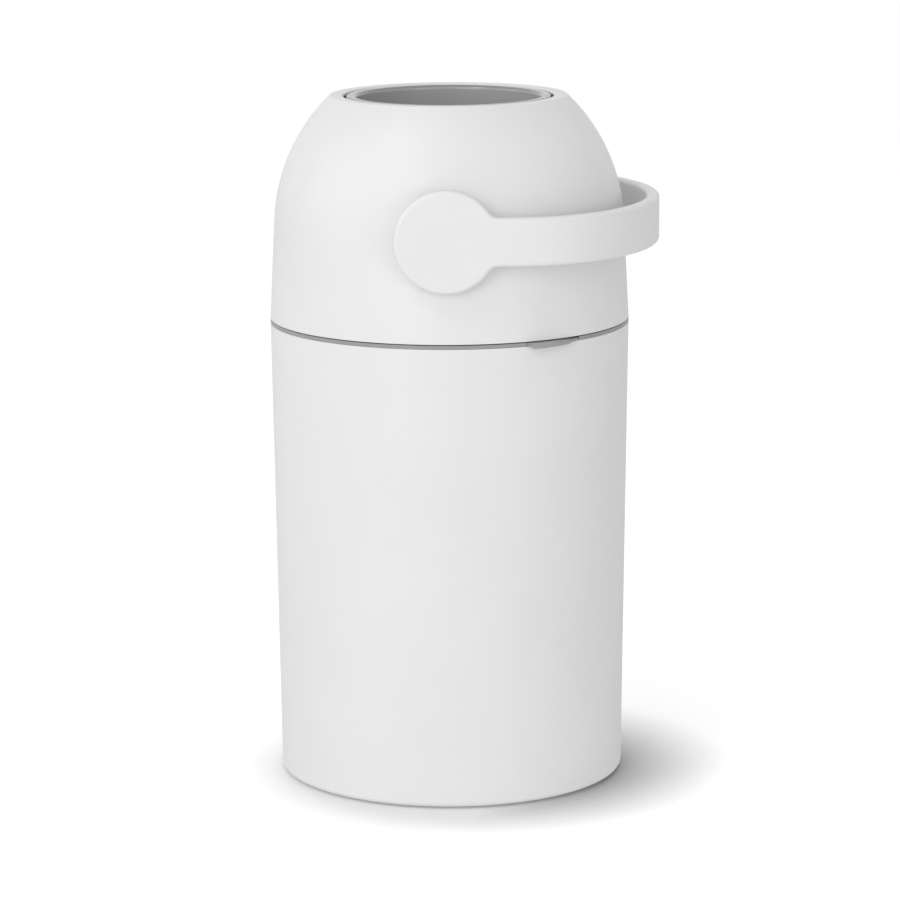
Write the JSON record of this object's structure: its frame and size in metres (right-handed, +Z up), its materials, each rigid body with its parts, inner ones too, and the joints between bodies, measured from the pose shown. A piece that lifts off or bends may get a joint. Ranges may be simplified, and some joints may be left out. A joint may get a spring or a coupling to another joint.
{
  "type": "nappy bin",
  "caption": "Tall round nappy bin whose bail handle turns a piston barrel end over end inside a domed hinged lid.",
  "frame": {"origin": "centre of the bin's foot ring, on the floor", "axes": "+Z up, -Y towards the viewer and the front end of the handle's pivot, +X towards the handle's strap at rest; the handle's pivot runs along Y"},
  "size_m": [0.3047, 0.3, 0.5374],
  "materials": {
    "white_shell": "fine satin moulded plastic",
    "grey_trim": "satin moulded plastic",
    "grey_barrel": "half-gloss moulded plastic",
    "pale_trim": "satin moulded plastic",
    "inner_white": "plain moulded plastic",
    "dark_rubber": "matt rubber",
    "steel": "bright drawn steel"
  },
  "bodies": {
    "base": {"base_bin": "white_shell", "foot_ring": "dark_rubber", "collar_ring": "grey_trim", "bag_ring": "inner_white", "latch_guide": "grey_trim", "guide_screws": "steel", "hinge_pin": "steel", "release_spring": "steel"},
    "tab": {"release_tab": "grey_trim"},
    "lid": {"dome_cover": "white_shell", "cradle": "grey_trim", "cradle_screws": "steel", "lid_gasket": "dark_rubber", "lid_catch": "grey_trim", "catch_screws": "steel", "top_wiper": "dark_rubber", "bottom_wiper": "dark_rubber", "bush_front": "pale_trim", "bush_back": "pale_trim"},
    "turner": {"barrel": "grey_barrel", "barrel_rim_upper": "grey_barrel", "barrel_rim_lower": "grey_barrel", "pivot_shaft_front": "pale_trim", "pivot_shaft_back": "pale_trim", "handle": "white_shell", "handle_screws": "steel"},
    "piston": {"piston_body": "inner_white", "piston_cap": "inner_white", "piston_seal_upper": "dark_rubber", "piston_seal_lower": "dark_rubber"}
  },
  "joints": [
    {"name": "lid_hinge", "type": "hinge", "parent": "base", "child": "lid", "pos_m": [-0.08536, 0.11968, 0.3616], "axis": [-0.8141, -0.5807, 0], "range_deg": [0, 85]},
    {"name": "handle_turn", "type": "hinge", "parent": "lid", "child": "turner", "pos_m": [0, 0, 0.4423], "axis": [0, -1, 0], "range_deg": [0, 180]},
    {"name": "piston_slide", "type": "slide", "parent": "turner", "child": "piston", "axis": [0, 0, 1], "range_m": [0, 0.1125]},
    {"name": "tab_press", "type": "slide", "parent": "base", "child": "tab", "axis": [-0.5807, 0.8141, 0], "range_m": [0, 0.003], "stiffness_N_per_m": 800, "springref_m": -0.002, "deforming": ["release_spring"]}
  ]
}
